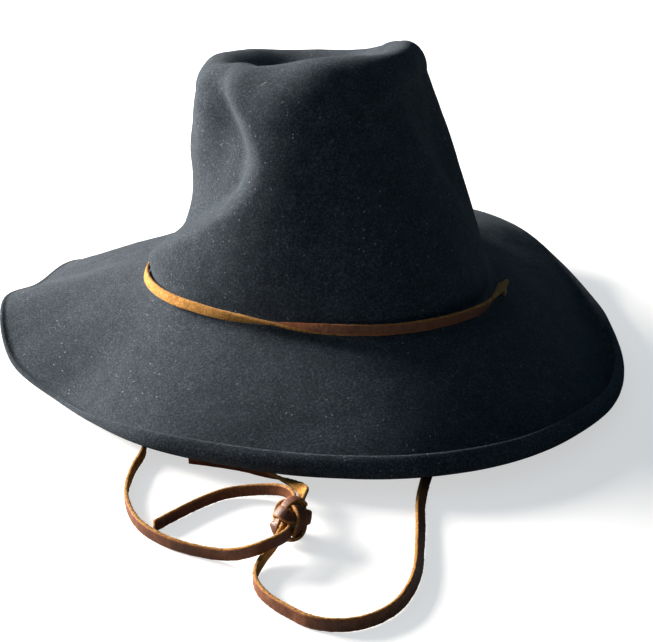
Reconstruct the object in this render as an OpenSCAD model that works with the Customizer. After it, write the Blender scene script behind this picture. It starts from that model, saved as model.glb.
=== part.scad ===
// Wide-brimmed felt hat with a leather lace as hat band and chin cord.
// Units are millimetres, +Z is up, the wearer's front faces -Y.
// The hat rests on its brim: z = 0 is the surface it lies on.

/* [Head opening] */
// Half width of the crown at the brim break, outside the felt
crown_half_w = 82; // [80:1:86]
// Half length of the crown at the brim break, outside the felt
crown_half_l = 103; // [99:1:107]
// Height of the brim break above the surface the hat lies on
break_h = 45; // [42:1:48]

/* [Felt] */
// Thickness of the felt
felt_t = 2.6; // [2:0.1:3]
// Number of columns around the felt
felt_cols = 72; // [48:12:72]

/* [Crown] */
// How far the crown's side walls lean in over the first 100 mm of height
crown_lean = 30.5; // [26:0.5:36]
// Roundness of the lean: 1 is a straight cone
crown_lean_pow = 1.3; // [1.1:0.1:1.6]
// Height of the roll between wall and top ridge
ridge_roll_h = 14; // [10:1:18]
// Width of the roll between wall and top ridge
ridge_roll_w = 11; // [8:1:14]
// Height of the lowest point of the top dent above the break
dent_z = 86; // [78:1:94]

/* [Creases] */
// Depth of the thumb pinch on the front left of the crown
pinch_left = 15; // [8:1:18]
// Depth of the flat pinch on the front right of the crown
pinch_right = 6; // [0:1:8]

/* [Brim] */
// Inside radius of the curled brim edge
curl_r = 4.5; // [3:0.5:5]
// Height of the upright part of the curled brim edge
curl_lip = 5.5; // [3:0.5:6]
// Fall of the brim towards its edge: 0 is straight, more is arched
brim_arch = 0.15; // [0:0.05:0.4]

/* [Lace] */
// Width of the lace
lace_w = 4.8; // [4:0.2:5.2]
// Thickness of the lace
lace_t = 2; // [1.6:0.1:2.2]
// Diameter of the lace holes in the brim
hole_d = 6; // [5.8:0.1:7]

/* [Slide knot] */
// Diameter of the woven knot
knot_d = 16; // [15:0.5:18]
// Length of the woven knot
knot_l = 18; // [16:1:20]
// Diameter of the channel through the knot
knot_bore = 7.4; // [7.2:0.1:8]

/* [Sweatband] */
// Height of the sweatband
band_h = 36; // [30:1:40]
// Thickness of the sweatband leather
band_t = 1.2; // [1:0.1:1.4]
// Diameter of the reed in the fold of the sweatband
reed_d = 2; // [1.6:0.2:2.2]
// Number of stitches around the sweatband
stitch_n = 60; // [40:4:80]

/* [Hidden] */

// middle of the crown in the part's frame
cc = [3.3, -7.5];

// height of the brim edge above the surface, every 15 degrees from +X
edge_h = [2, 6, 13, 23, 26, 17, 6, 0, 0, 3, 14, 15, 21, 7, 0.8, 4, 6.5, 6.5, 6.5, 7, 6, 3.5, 1, 0];
// how far the brim edge stands out from the crown's plain oval, every 15 degrees from +X
brim_run = [69, 70, 72.5, 74, 72, 74, 77, 75, 66, 67, 73, 72, 77, 70, 54, 54, 56, 55, 59, 67, 71.5, 71.5, 72.5, 71];
// the brim break is a pushed-about oval: its distance from the middle of the crown, every 15 degrees from +X
base_r = [84, 85, 89, 94, 99, 103, 104, 103, 98, 88, 77, 72.5, 75.5, 83, 87, 89, 89, 90.5, 95.5, 102, 103.5, 100, 92, 86];
// height of the top ridge above the break, every 15 degrees from +X
ridge_h = [111, 108, 105, 100, 96, 94, 94, 94.5, 96, 98, 100, 102, 103, 103.5, 106.5, 107, 108.5, 110.5, 112, 112.5, 113, 112.5, 112, 111.5];
// how far the brim edge is curled up (1 is fully), every 30 degrees from +X
curl_up = [0.8, 0.1, 0.05, 0.05, 0.05, 0.05, 0.1, 0.2, 0.8, 1, 1, 1];

function sm(x) = let(t = min(1, max(0, x))) t * t * (3 - 2 * t);
// smooth closed curve through evenly spaced stations
function around(v, a) =
    let(n = len(v), u = a / 360 * n, i = floor(u), t = u - i,
        p0 = v[(i - 1 + n) % n], p1 = v[(i + n) % n], p2 = v[(i + 1) % n], p3 = v[(i + 2) % n])
    0.5 * (2 * p1 + (p2 - p0) * t + (2 * p0 - 5 * p1 + 4 * p2 - p3) * t * t
           + (3 * p1 - p0 - 3 * p2 + p3) * t * t * t);
function unit(v) = v / max(1e-9, norm(v));

// half axes of the crown at height z above the break
function lean(z) = pow(max(0, z) / 100, crown_lean_pow);
function ax(z) = crown_half_w - crown_lean * lean(z);
function by(z) = crown_half_l - (crown_lean + 1) * lean(z);

// how far the break lies from the plain oval, and how that fades up the wall
function foot(a) = let(x = crown_half_w * cos(a), y = crown_half_l * sin(a))
    around(base_r, (atan2(y, x) + 360) % 360) / norm([x, y]);
function foot_at(a, z) = 1 + (foot(a) - 1) * (1 - sm(z / 60));

// the roll is wider and deeper across the front
function front(a) = sm((a - 205) / 45) * sm((330 - a) / 45);
function roll_h(a) = ridge_roll_h + 12 * front(a);
function roll_w(a) = ridge_roll_w + 17 * front(a);

// inward push of the left pinch
function pl_front(z) = 249 - 22 * sm((z - 67) / 38);
function pl_low(a) = 10 + 57 * pow(min(1, max(0, (a - 180) / 69)), 1.2);
function push_left(a, z) =
    pinch_left * sm((pl_front(z) - a) / 24) * sm((a - 140) / 34)
    * sm((z - pl_low(a) + 14) / 29) * (1 - (0.92 - 0.62 * sm((a - 196) / 24)) * sm((z - pl_low(a) - 12) / 55));
// inward push of the right pinch; the angle runs from -180 to 180 here
function pr_front(z) = -21 - 25 * sm((z - 28) / 68);
function push_right(a, z) =
    pinch_right * sm((a - pr_front(z)) / 11) * sm((-1 - a) / 16) * sm((z - 22) / 26) * sm((118 - z) / 30);
// outward swell of the upper left side
function swell(a, z) = 4 * sm((z - 68) / 24) * sm((a - 140) / 30) * sm((240 - a) / 30);
// outward swell at the foot of the left side
function foot_swell(a, z) = 3.5 * sm((a - 160) / 22) * sm((222 - a) / 22) * sm((z - 1) / 12) * sm((52 - z) / 28);
function push(a, z) = push_left(a, z) + push_right(a > 180 ? a - 360 : a, z) - swell(a, z) - foot_swell(a, z);

// a point on the outside of the crown wall
function wall(a, z) =
    let(s = push(a, z), k = foot_at(a, z))
    [cc[0] + (ax(z) * k - s) * cos(a), cc[1] + (by(z) * k - s) * sin(a), break_h + z];
// the roll over to the top ridge, q from 0 to 1
function roll_over(a, q) =
    let(R = around(ridge_h, a), z0 = R - roll_h(a), z = z0 + roll_h(a) * sin(90 * q),
        d = roll_w(a) * (1 - cos(90 * q)) + push(a, z))
    [cc[0] + (ax(z0) - d) * cos(a), cc[1] + (by(z0) - d) * sin(a), break_h + z];
// the top dent, k from 0 at the ridge to 1 at the middle
function dent(a, k) =
    let(R = around(ridge_h, a), p = roll_over(a, 1), h = sm(k / 0.85))
    [cc[0] + (p[0] - cc[0]) * (1 - k), cc[1] + (p[1] - cc[1]) * (1 - k),
     break_h + R + (dent_z - R) * h];

// where a section of the brim starts, where it ends and the way it points, seen from above
function base_pt(a) = let(k = foot(a)) [cc[0] + crown_half_w * k * cos(a), cc[1] + crown_half_l * k * sin(a)];
function edge_pt(a) = let(n = unit([cos(a) / crown_half_w, sin(a) / crown_half_l]), r = around(brim_run, a))
    [cc[0] + crown_half_w * cos(a) + r * n[0], cc[1] + crown_half_l * sin(a) + r * n[1]];
function out_dir(a) = unit(edge_pt(a) - base_pt(a));

// the brim's upper surface in that section
function sect(a) =
    let(drop = break_h - max(0.2, around(edge_h, a)),
        run = norm(edge_pt(a) - base_pt(a)), e = around(curl_up, a), te = 80 * e,
        sg = atan((drop - felt_t) / run * (1 + brim_arch)),
        x1 = run - curl_r * (sin(te) + sin(sg)) - felt_t * sin(te),
        z1 = -drop + felt_t + curl_r * (1 - cos(sg)))
    [x1, z1, sg, te, curl_lip * e];
function brim_pt(a, x, z) =
    let(b = base_pt(a), n = out_dir(a))
    [b[0] + n[0] * x, b[1] + n[1] * x, break_h + z];
// v from 0 at the break to 1 at the start of the curl
function brim(a, v) =
    let(s = sect(a)) brim_pt(a, s[0] * v, s[1] * ((1 - brim_arch) * v + brim_arch * v * v));
// q from 0 at the start of the curl to 1 at its end
function curl(a, q) =
    let(s = sect(a), al = -s[2] + (s[3] + s[2]) * q)
    brim_pt(a, s[0] + curl_r * (sin(al) + sin(s[2])), s[1] + curl_r * (cos(s[2]) - cos(al)));
function lip(a, q) =
    let(s = sect(a), p = [s[0] + curl_r * (sin(s[3]) + sin(s[2])), s[1] + curl_r * (cos(s[2]) - cos(s[3]))])
    brim_pt(a, p[0] + q * s[4] * cos(s[3]), p[1] + q * s[4] * sin(s[3]));
// the soft corner between brim and crown
function corner(a, q) =
    let(p = brim(a, 0.09), c = brim(a, 0), w = wall(a, 6))
    (1 - q) * (1 - q) * p + 2 * q * (1 - q) * c + q * q * w;

function row(i, a) =
    i < 2 ? lip(a, 1 - i) :
    i < 6 ? curl(a, 1 - (i - 1) / 4) :
    i < 13 ? brim(a, 1 - (i - 5) / 8 * 0.96) :
    i < 16 ? corner(a, (i - 12) / 4) :
    i < 25 ? wall(a, 6 + (around(ridge_h, a) - roll_h(a) - 6) * (i - 16) / 9) :
    i < 29 ? roll_over(a, (i - 25) / 4) :
    dent(a, (i - 29) / 5);
ROWS = 34;

felt_top = [for (i = [0 : ROWS - 1]) [for (j = [0 : felt_cols - 1]) row(i, j * 360 / felt_cols)]];
felt_mid = [cc[0], cc[1], break_h + dent_z];

// square to the surface at a grid point
function grid_n(g, i, j) =
    let(n = len(g), m = len(g[0]),
        u = g[i][(j + 1) % m] - g[i][(j - 1 + m) % m],
        v = i == n - 1 ? felt_mid - g[i - 1][j] : g[i + 1][j] - g[max(0, i - 1)][j])
    unit(cross(u, v));
function below(g, t) = [for (i = [0 : len(g) - 1]) [for (j = [0 : len(g[0]) - 1]) g[i][j] - t * grid_n(g, i, j)]];

felt_under = below(felt_top, felt_t);

module felt_shell() {
    m = felt_cols;
    n = ROWS;
    pts = concat([for (r = felt_top) each r], [felt_mid],
                 [for (r = felt_under) each r], [felt_mid - [0, 0, felt_t]]);
    c1 = n * m;
    o = c1 + 1;
    c2 = o + n * m;
    faces = concat(
        [for (i = [0 : n - 2]) for (j = [0 : m - 1]) let(k = (j + 1) % m)
            each [[i * m + j, (i + 1) * m + j, (i + 1) * m + k], [i * m + j, (i + 1) * m + k, i * m + k]]],
        [for (i = [0 : n - 2]) for (j = [0 : m - 1]) let(k = (j + 1) % m)
            each [[o + i * m + j, o + (i + 1) * m + k, o + (i + 1) * m + j], [o + i * m + j, o + i * m + k, o + (i + 1) * m + k]]],
        [for (j = [0 : m - 1]) let(k = (j + 1) % m) [(n - 1) * m + j, c1, (n - 1) * m + k]],
        [for (j = [0 : m - 1]) let(k = (j + 1) % m) [o + (n - 1) * m + j, o + (n - 1) * m + k, c2]],
        [for (j = [0 : m - 1]) let(k = (j + 1) % m) each [[j, k, o + k], [j, o + k, o + j]]]);
    polyhedron(points = pts, faces = faces, convexity = 10);
}

// where the lace goes through the brim: angle around the crown and distance from it
hole_right = [342, 8];
hole_left = [138, 7];
function beside(a, d) = base_pt(a) + out_dir(a) * d;

module felt_body() {
    color("#23272c") difference() {
        felt_shell();
        for (h = [hole_right, hole_left])
            translate([beside(h[0], h[1])[0], beside(h[0], h[1])[1], break_h - 16]) cylinder(d = hole_d, h = 26, $fn = 32);
    }
}

// a closed ring between two grids that share their columns
module ring_shell(out, inn) {
    m = len(out[0]);
    n = len(out);
    o = n * m;
    polyhedron(points = concat([for (r = out) each r], [for (r = inn) each r]), convexity = 10, faces = concat(
        [for (i = [0 : n - 2]) for (j = [0 : m - 1]) let(k = (j + 1) % m)
            each [[i * m + j, (i + 1) * m + j, (i + 1) * m + k], [i * m + j, (i + 1) * m + k, i * m + k]]],
        [for (i = [0 : n - 2]) for (j = [0 : m - 1]) let(k = (j + 1) % m)
            each [[o + i * m + j, o + (i + 1) * m + k, o + (i + 1) * m + j], [o + i * m + j, o + i * m + k, o + (i + 1) * m + k]]],
        [for (j = [0 : m - 1]) let(k = (j + 1) % m) each [[j, k, o + k], [j, o + k, o + j]]],
        [for (j = [0 : m - 1]) let(k = (j + 1) % m, t = (n - 1) * m)
            each [[t + j, o + t + k, t + k], [t + j, o + t + j, o + t + k]]]));
}

// the sweatband lies against the inside of the crown, from the break up
BAND_ROWS = [15 : 19];
band_gap = 0.5;
function band_face(t) = let(g = below(felt_top, t)) [for (i = BAND_ROWS) g[i]];
band_out = band_face(felt_t + band_gap);
band_in = band_face(felt_t + band_gap + band_t * 1.0);
module sweatband() {
    color("#3a2a20") ring_shell(band_out, band_in);
}

// a closed tube around the head opening, in the fold under the sweatband
module sweatband_reed() {
    m = felt_cols;
    c = [for (j = [0 : m - 1]) let(a = j * 360 / m, p = beside(a, -2.1)) [p[0], p[1], break_h - 3.7]];
    pts = [for (j = [0 : m - 1]) let(n = out_dir(j * 360 / m)) for (k = [0 : 7])
        c[j] + reed_d / 2 * (cos(45 * k) * [n[0], n[1], 0] + sin(45 * k) * [0, 0, 1])];
    color("#d9d4c6") polyhedron(points = pts, faces = [for (j = [0 : m - 1]) for (k = [0 : 7])
        let(a = j * 8 + k, b = j * 8 + (k + 1) % 8, d = ((j + 1) % m) * 8 + k, e = ((j + 1) % m) * 8 + (k + 1) % 8)
        each [[a, b, e], [a, e, d]]], convexity = 8);
}

// stitches along the bottom of the sweatband
module sweatband_stitching() {
    color("#14161a") for (s = [0 : stitch_n - 1]) {
        a = (s + 0.5) * 360 / stitch_n;
        u = a / 360 * felt_cols;
        j = floor(u) % felt_cols;
        f = u - floor(u);
        k = (j + 1) % felt_cols;
        q0 = band_in[0][j] * (1 - f) + band_in[0][k] * f;
        q1 = band_in[1][j] * (1 - f) + band_in[1][k] * f;
        t = band_in[0][k] - band_in[0][j];
        n = unit(cross(t, q1 - q0));
        p = (q0 + q1) / 2 - 0.95 * n;
        x = unit(t);
        y = unit(cross(n, x));
        translate(p) rotate([0, 0, atan2(x[1], x[0])]) rotate([acos(max(-1, min(1, n[2]))) , 0, 0])
            cube([6, 0.5, 0.5], center = true);
    }
}

// small ribbon bow on the inside of the sweatband, at the back of the head
module sweatband_bow() {
    y = min([for (i = [1 : 3]) band_in[i][felt_cols / 4][1]]) - 1.5;
    color("#1b1d22") translate([cc[0], y, break_h + 16]) rotate([90, 0, 0]) {
        for (s = [-1, 1]) {
            linear_extrude(height = 1.4) difference() {
                hull() { translate([s * 3, 0]) circle(r = 1.2, $fn = 24); translate([s * 9, 0]) circle(r = 3.2, $fn = 24); }
                hull() { translate([s * 5, 0]) circle(r = 0.4, $fn = 24); translate([s * 9, 0]) circle(r = 2, $fn = 24); }
            }
            rotate(s * 28) translate([s * 1.2 - 1.5, -11]) cube([3, 9, 0.9]);
        }
        translate([-2, -2, 0]) cube([4, 4, 2.2]);
    }
}

// a flat lace with chamfered edges, swept through points; w gives the direction of its width at each point
function tang(p, i) = unit(p[min(len(p) - 1, i + 1)] - p[max(0, i - 1)]);
function lace_ring(c, t, w) = let(n = unit(cross(t, w)), u = unit(cross(n, t)), a = lace_w / 2, b = lace_t / 2, k = lace_t / 4)
    [for (q = [[a, -b + k], [a, b - k], [a - k, b], [-a + k, b], [-a, b - k], [-a, -b + k], [-a + k, -b], [a - k, -b]])
        c + q[0] * u + q[1] * n];
module lace(p, w) {
    n = len(p);
    r = [for (i = [0 : n - 1]) each lace_ring(p[i], tang(p, i), w[i])];
    polyhedron(points = r, convexity = 8, faces = concat(
        [[for (k = [0 : 7]) k]], [[for (k = [7 : -1 : 0]) (n - 1) * 8 + k]],
        [for (i = [0 : n - 2]) for (k = [0 : 7]) let(a = i * 8 + k, b = i * 8 + (k + 1) % 8)
            each [[a, b + 8, b], [a, a + 8, b + 8]]]));
}
UP = [0, 0, 1];

// the hat band stretch: up through the left hole, around the front and down through the right hole
LACE_A = [for (a = [160 : 6.75 : 322.1]) a];
function band_d(a) = 2.9 + 3.2 * sm((a - 300) / 30);
function band_z(a) = break_h + 3.2 - 0.6 * sm((230 - a) / 40) + 0.7 * sm((202 - a) / 14);
hole_l = beside(hole_left[0], hole_left[1]);
hole_r = beside(hole_right[0], hole_right[1]);
lead_l = unit(beside(145, 6) - hole_l);
lead_r = unit(beside(336, 7) - hole_r);
crown_route = concat(
    [[hole_l[0], hole_l[1], break_h - 8.2], [hole_l[0], hole_l[1], break_h - 1], [hole_l[0] + lead_l[0] * 0.9, hole_l[1] + lead_l[1] * 0.9, break_h + 0.8],
     [hole_l[0] + lead_l[0] * 3, hole_l[1] + lead_l[1] * 3, break_h + 2], [beside(149, 4.6)[0], beside(149, 4.6)[1], break_h + 2.6]],
    [for (a = LACE_A) let(p = beside(a, band_d(a))) [p[0], p[1], band_z(a)]],
    [[beside(334, 6.6)[0], beside(334, 6.6)[1], break_h + 2.6], [hole_r[0] + lead_r[0] * 3, hole_r[1] + lead_r[1] * 3, break_h + 2],
     [hole_r[0] + lead_r[0] * 0.9, hole_r[1] + lead_r[1] * 0.9, break_h + 0.8], [hole_r[0], hole_r[1], break_h - 1], [hole_r[0], hole_r[1], break_h - 9]]);
function out3(a) = [out_dir(a)[0], out_dir(a)[1], 0];
crown_w = concat([for (i = [0 : 3]) -out3(138)], [unit(-out3(149) + 0.8 * UP)], [for (a = LACE_A) UP],
    [unit(UP * 0.8 - out3(334))], [for (i = [0 : 3]) -out3(342)]);
module crown_lace() { color("#7a4630") lace(crown_route, crown_w); }

// the loose laces lie on the surface, set off by this much
lay = [-0.1, 0.9, 0];
function laid(r) = [for (p = r) p + lay];
// chin lace, left: from the left hole over the surface, through the knot and on to its cut end
left_route = concat(
    [[hole_l[0], hole_l[1], break_h - 8.25], [hole_l[0], hole_l[1], break_h - 11]],
    laid([[-64.5, 64.5, 29.5], [-70, 58.5, 20], [-76.5, 49.5, 11], [-82.5, 37, 5.5],
    [-86.5, 22, 3], [-88.5, 5, 2.7], [-89, -12, 2.7], [-88, -30, 2.7], [-86, -48, 2.7], [-83.5, -66, 2.7], [-80, -86, 2.7],
    [-76, -104, 2.7], [-72.5, -120, 2.7], [-71, -135, 2.7], [-73.5, -152, 2.7], [-74, -170, 2.7], [-71, -185, 2.7],
    [-65.5, -197.5, 2.7], [-58.5, -206, 2.7], [-49.5, -213, 2.7], [-40, -217.5, 2.7], [-33, -220.3, 3.2],
    [-27.5, -223, 4.8], [-22, -224.8, 7], [-17, -224.6, 8.8], [-12.6, -222, 9.4], [-9.4, -218, 9], [-8, -214.2, 8.3],
    [-7.4, -212.5, 8.2], [-3.2, -193, 8.2], [-2.4, -188, 8.1], [-2, -182, 7.4], [-2.6, -176, 6.2], [-5.2, -169.5, 4.8],
    [-10.5, -162, 3.4], [-17.5, -156, 2.8], [-27, -150, 2.7], [-39, -145.5, 2.7], [-51, -142, 2.7]]));
// chin lace, right: from the right hole over the surface, through the knot and on to its cut end
right_route = concat(
    [[hole_r[0], hole_r[1], break_h - 9.05], [hole_r[0], hole_r[1], break_h - 12]],
    laid([[92.5, -46, 27.5], [92, -51, 19.5], [90, -58, 12], [86.5, -67, 7],
    [82, -78, 4], [76.5, -92, 2.7], [70, -107, 2.7], [63, -122, 2.7], [56, -138, 2.7], [50, -153, 2.7],
    [46.5, -168, 2.7], [44.2, -183, 2.7], [43.2, -198, 2.7], [41.8, -214, 2.7], [40, -230, 2.7], [36.5, -243, 2.7],
    [31, -254, 2.7], [24, -261, 2.7], [16, -265, 2.7], [8.5, -265.5, 2.7], [1, -263.5, 2.7], [-6.5, -257.5, 2.7],
    [-13.5, -250, 2.7], [-18.3, -241, 2.7], [-19.2, -233, 2.7], [-17.8, -226.5, 2.9], [-15.6, -221.5, 3.8], [-13.2, -217.8, 5.4],
    [-11.4, -215.2, 7], [-10.3, -213, 8], [-9.9, -211.5, 8.2], [-5.8, -192.5, 8.2], [-5.7, -187.5, 8.1], [-7.4, -182, 7.6], [-11.5, -177, 6.6],
    [-17.5, -173.5, 5], [-25, -171.6, 3.5], [-33, -172.6, 2.8], [-42, -179, 2.7], [-51.5, -189, 2.7], [-59.5, -198.5, 2.7]]));
function lace_up(route, n0) = [for (i = [0 : len(route) - 1]) unit(sm((i - 2) / 4) * UP + (1 - sm((i - 2) / 4)) * n0)];
module chin_lace_left() { color("#8a5138") lace(left_route, lace_up(left_route, -out3(138))); }
module chin_lace_right() { color("#8a5138") lace(right_route, lace_up(right_route, -out3(342))); }

// the woven knot, a barrel with a channel for the two laces
knot_at = lay + [-6.7, -203, 8.2];
knot_turn = 12;
module slide_knot() {
    r = knot_d / 2;
    h = knot_l / 2 - 1;
    b = knot_bore / 2;
    color("#6e3d28") translate(knot_at) rotate([0, 0, -knot_turn]) rotate([-90, 0, 0])
        rotate_extrude($fn = 48) polygon([[b, -h], [b + 1.6, -h], [r - 1, -h * 0.62], [r, -h * 0.25], [r, h * 0.25], [r - 1, h * 0.62],
            [b + 1.6, h], [b, h]]);
}

felt_body();
sweatband();
sweatband_reed();
sweatband_stitching();
sweatband_bow();
crown_lace();
chin_lace_left();
chin_lace_right();
slide_knot();
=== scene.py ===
import bpy
import math
import numpy as np
from mathutils import Matrix, Vector


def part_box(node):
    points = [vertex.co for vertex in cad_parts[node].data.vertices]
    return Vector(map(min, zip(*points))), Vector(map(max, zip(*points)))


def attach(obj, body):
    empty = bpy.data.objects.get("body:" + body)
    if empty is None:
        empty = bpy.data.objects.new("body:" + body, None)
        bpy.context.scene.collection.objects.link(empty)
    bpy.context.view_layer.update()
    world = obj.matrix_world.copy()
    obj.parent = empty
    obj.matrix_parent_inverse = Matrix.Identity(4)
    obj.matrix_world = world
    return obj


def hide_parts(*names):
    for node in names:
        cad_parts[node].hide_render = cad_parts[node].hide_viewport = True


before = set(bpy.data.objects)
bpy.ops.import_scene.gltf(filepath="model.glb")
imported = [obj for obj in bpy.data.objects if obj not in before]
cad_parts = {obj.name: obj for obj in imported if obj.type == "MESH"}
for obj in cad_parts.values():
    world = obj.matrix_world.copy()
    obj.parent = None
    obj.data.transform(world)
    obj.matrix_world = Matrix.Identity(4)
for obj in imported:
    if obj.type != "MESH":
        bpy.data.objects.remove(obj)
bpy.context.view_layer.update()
scene = bpy.context.scene
MM = 0.001


# ------------------------------------------------------------------ camera
def place_camera():
    target = Vector((2.9, -0.6, 45.0)) * MM
    el = math.radians(19.0)
    right = Vector((1, 0, 0))
    back = Vector((0, -math.cos(el), math.sin(el)))
    up = back.cross(right)
    pos = target + back * 0.720
    cam = bpy.data.cameras.new("camera")
    ob = bpy.data.objects.new("camera", cam)
    scene.collection.objects.link(ob)
    ob.matrix_world = Matrix(((right.x, up.x, back.x, pos.x), (right.y, up.y, back.y, pos.y),
                              (right.z, up.z, back.z, pos.z), (0, 0, 0, 1)))
    cam.sensor_fit = "HORIZONTAL"
    cam.sensor_width = 36.0
    cam.lens = 36.0 * 1418.0 / 653.0
    cam.shift_x = (653 / 2 - 316.5) / 653
    cam.shift_y = -(642 / 2 - 256.0) / 653
    cam.clip_start, cam.clip_end = 0.01, 50.0
    scene.camera = ob


place_camera()

# ------------------------------------------------------------------ the hat's shape, in millimetres
W0, L0, BH, FT = 82.0, 103.0, 45.0, 2.6
LEAN, LEANPOW = 30.5, 1.3
ROLL_H, ROLL_W = 14.0, 11.0
DENT = 86.0
PINCH_L, PINCH_R = 15.0, 6.0
CURL_R, CURL_LIP, CURL_TO = 2.7, 0.8, 150.0
ARCH = 0.15
CC = np.array([3.3, -7.5])
EDGE_H = [2, 6, 13, 23, 26, 17, 6, 0, 0, 3, 14, 15, 21, 7, 0.8, 4, 6.5, 6.5, 6.5, 7, 6, 3.5, 1, 0]
BRIM_RUN = [69, 70, 72.5, 74, 72, 74, 77, 75, 66, 67, 73, 72, 77, 70, 54, 54, 56, 55, 59, 67, 71.5, 71.5, 72.5, 71]
BASE_R = [84, 85, 89, 94, 99, 103, 104, 103, 98, 88, 77, 72.5, 75.5, 83, 87, 89, 89, 90.5, 95.5, 102, 103.5, 100, 92, 86]
RIDGE_H = [111, 108, 105, 100, 96, 94, 94, 94.5, 96, 98, 100, 102, 103, 103.5, 106.5, 107, 108.5, 110.5, 112, 112.5, 113, 112.5, 112, 111.5]
CURL_UP = [0.8, 0.1, 0.05, 0.05, 0.05, 0.05, 0.1, 0.2, 0.8, 1, 1, 1]
D = math.pi / 180


def cosd(a):
    return np.cos(np.asarray(a, float) * D)


def sind(a):
    return np.sin(np.asarray(a, float) * D)


def sm(x):
    t = np.clip(x, 0, 1)
    return t * t * (3 - 2 * t)


def around(v, a):
    v = np.asarray(v, float)
    n = len(v)
    u = np.asarray(a, float) / 360 * n
    i = np.floor(u).astype(int)
    t = u - i
    p0, p1, p2, p3 = v[(i - 1) % n], v[i % n], v[(i + 1) % n], v[(i + 2) % n]
    return 0.5 * (2 * p1 + (p2 - p0) * t + (2 * p0 - 5 * p1 + 4 * p2 - p3) * t * t
                  + (3 * p1 - p0 - 3 * p2 + p3) * t * t * t)


def lean(z):
    return (np.maximum(0, z) / 100) ** LEANPOW


def ax(z):
    return W0 - LEAN * lean(z)


def by(z):
    return L0 - (LEAN + 1) * lean(z)


def foot(a):
    x, y = W0 * cosd(a), L0 * sind(a)
    return around(BASE_R, np.degrees(np.arctan2(y, x)) % 360) / np.hypot(x, y)


def foot_at(a, z):
    return 1 + (foot(a) - 1) * (1 - sm(z / 60))


def front(a):
    return sm((a - 205) / 45) * sm((330 - a) / 45)


def roll_h(a):
    return ROLL_H + 12 * front(a)


def roll_w(a):
    return ROLL_W + 17 * front(a)


def push_left(a, z):
    fore = 249 - 22 * sm((z - 67) / 38)
    low = 10 + 57 * np.clip((a - 180) / 69, 0, 1) ** 1.2
    return (PINCH_L * sm((fore - a) / 24) * sm((a - 140) / 34)
            * sm((z - low + 8) / 18) * (1 - (0.92 - 0.62 * sm((a - 196) / 24)) * sm((z - low - 12) / 55)))


def push_right(a, z):
    fore = -21 - 25 * sm((z - 28) / 68)
    u = (a - fore) / 15
    t = np.clip(0.5 * (u + np.sqrt(u * u + 0.02)), 0, 1)
    return PINCH_R * (1 - (1 - t) ** 2) * sm((-1 - a) / 18) * sm((z - 16) / 30) * sm((116 - z) / 52)


def push(a, z):
    a = np.asarray(a, float)
    swell = 4 * sm((z - 68) / 24) * sm((a - 140) / 30) * sm((240 - a) / 30)
    swell = swell + 3.5 * sm((a - 160) / 22) * sm((222 - a) / 22) * sm((z - 1) / 12) * sm((52 - z) / 28)
    return push_left(a, z) + push_right(np.where(a > 180, a - 360, a), z) - swell


def st(x, y, z):
    return np.stack(np.broadcast_arrays(x, y, z), -1)


def wall(a, z):
    s, k = push(a, z), foot_at(a, z)
    return st(CC[0] + (ax(z) * k - s) * cosd(a), CC[1] + (by(z) * k - s) * sind(a), BH + z)


def roll_over(a, q):
    z0 = around(RIDGE_H, a) - roll_h(a)
    z = z0 + roll_h(a) * np.sin(np.pi / 2 * q)
    d = roll_w(a) * (1 - np.cos(np.pi / 2 * q)) + push(a, z)
    return st(CC[0] + (ax(z0) - d) * cosd(a), CC[1] + (by(z0) - d) * sind(a), BH + z)


def dent(a, k):
    r, p = around(RIDGE_H, a), roll_over(a, 1)
    return st(CC[0] + (p[..., 0] - CC[0]) * (1 - k), CC[1] + (p[..., 1] - CC[1]) * (1 - k),
              BH + r + (DENT - r) * sm(k / 0.85))


def base_pt(a):
    k = foot(a)
    return np.stack([CC[0] + W0 * k * cosd(a), CC[1] + L0 * k * sind(a)], -1)


def edge_pt(a):
    u, v = cosd(a) / W0, sind(a) / L0
    h, r = np.hypot(u, v), around(BRIM_RUN, a)
    return np.stack([CC[0] + W0 * cosd(a) + r * u / h, CC[1] + L0 * sind(a) + r * v / h], -1)


def out_dir(a):
    d = edge_pt(a) - base_pt(a)
    return d / np.linalg.norm(d, axis=-1, keepdims=True)


def sect(a):
    drop = BH - np.maximum(0.2, around(EDGE_H, a))
    run = np.linalg.norm(edge_pt(a) - base_pt(a), axis=-1)
    e = around(CURL_UP, a)
    te = CURL_TO * e
    reach = sind(np.minimum(te, 90))
    sg = np.degrees(np.arctan((drop - FT) / run * (1 + ARCH)))
    x1 = run - CURL_R * (reach + sind(sg)) - FT * reach
    z1 = -drop + FT + CURL_R * (1 - cosd(sg))
    return x1, z1, sg, te, CURL_LIP * np.maximum(e, 0.5)


def brim_pt(a, x, z):
    b, n = base_pt(a), out_dir(a)
    return st(b[..., 0] + n[..., 0] * x, b[..., 1] + n[..., 1] * x, BH + z)


def brim(a, v):
    s = sect(a)
    return brim_pt(a, s[0] * v, s[1] * ((1 - ARCH) * v + ARCH * v * v))


def curl(a, q):
    s = sect(a)
    al = -s[2] + (s[3] + s[2]) * q
    return brim_pt(a, s[0] + CURL_R * (sind(al) + sind(s[2])), s[1] + CURL_R * (cosd(s[2]) - cosd(al)))


def lip(a, q):
    s = sect(a)
    x = s[0] + CURL_R * (sind(s[3]) + sind(s[2]))
    z = s[1] + CURL_R * (cosd(s[2]) - cosd(s[3]))
    return brim_pt(a, x + q * s[4] * cosd(s[3]), z + q * s[4] * sind(s[3]))


def corner(a, q):
    p, c, w = brim(a, 0.09), brim(a, 0.0), wall(a, 6.0)
    return (1 - q) ** 2 * p + 2 * q * (1 - q) * c + q * q * w


def beside(a, d):
    return base_pt(np.asarray(float(a))) + out_dir(np.asarray(float(a))) * d


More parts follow.
